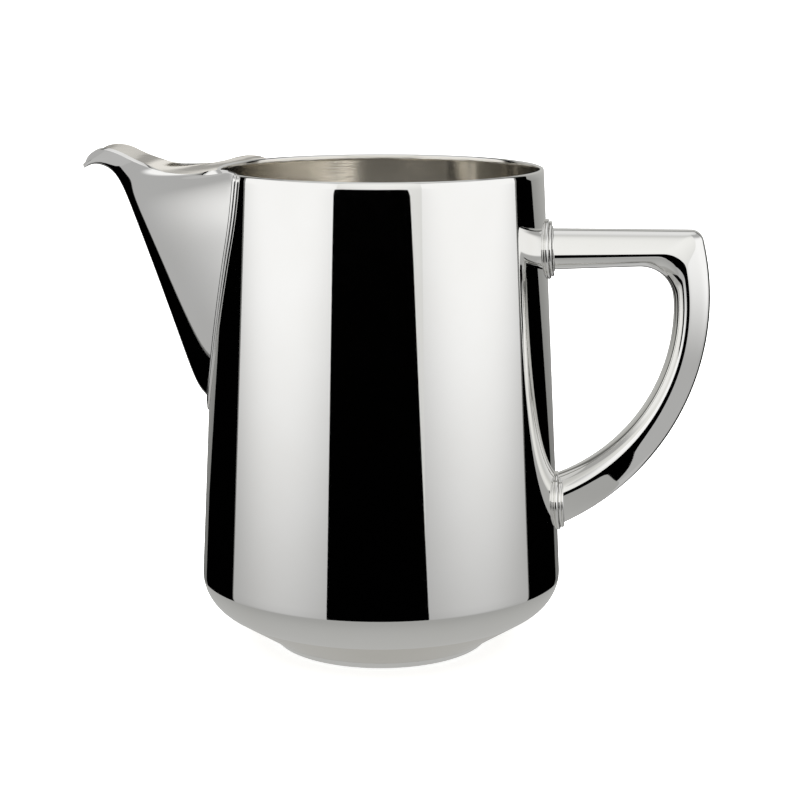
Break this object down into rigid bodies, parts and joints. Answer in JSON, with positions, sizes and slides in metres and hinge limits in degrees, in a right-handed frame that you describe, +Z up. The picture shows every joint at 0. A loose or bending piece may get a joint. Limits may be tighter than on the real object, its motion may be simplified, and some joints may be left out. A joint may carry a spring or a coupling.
{
  "type": "silver cream jug",
  "caption": "Tapered round cream jug on a low foot ring, with a beaked sheet spout rising from the wall and a hollow D-shaped handle on soldered sockets.",
  "frame": {"origin": "on the body's axis, in the resting plane of the foot ring", "axes": "+Z up along the body's axis, +X towards the handle, -X towards the spout; the jug is symmetric about the XZ plane"},
  "size_m": [0.1236, 0.0722, 0.0987],
  "materials": {
    "silver_plate": "polished silver plate"
  },
  "bodies": {
    "root": {"body_shell": "silver_plate", "foot_ring": "silver_plate", "spout": "silver_plate", "spout_joint_wire": "silver_plate", "handle_left_half": "silver_plate", "handle_right_half": "silver_plate", "upper_socket": "silver_plate", "upper_collar_wire": "silver_plate", "lower_socket": "silver_plate", "lower_collar_wire": "silver_plate"}
  },
  "joints": []
}
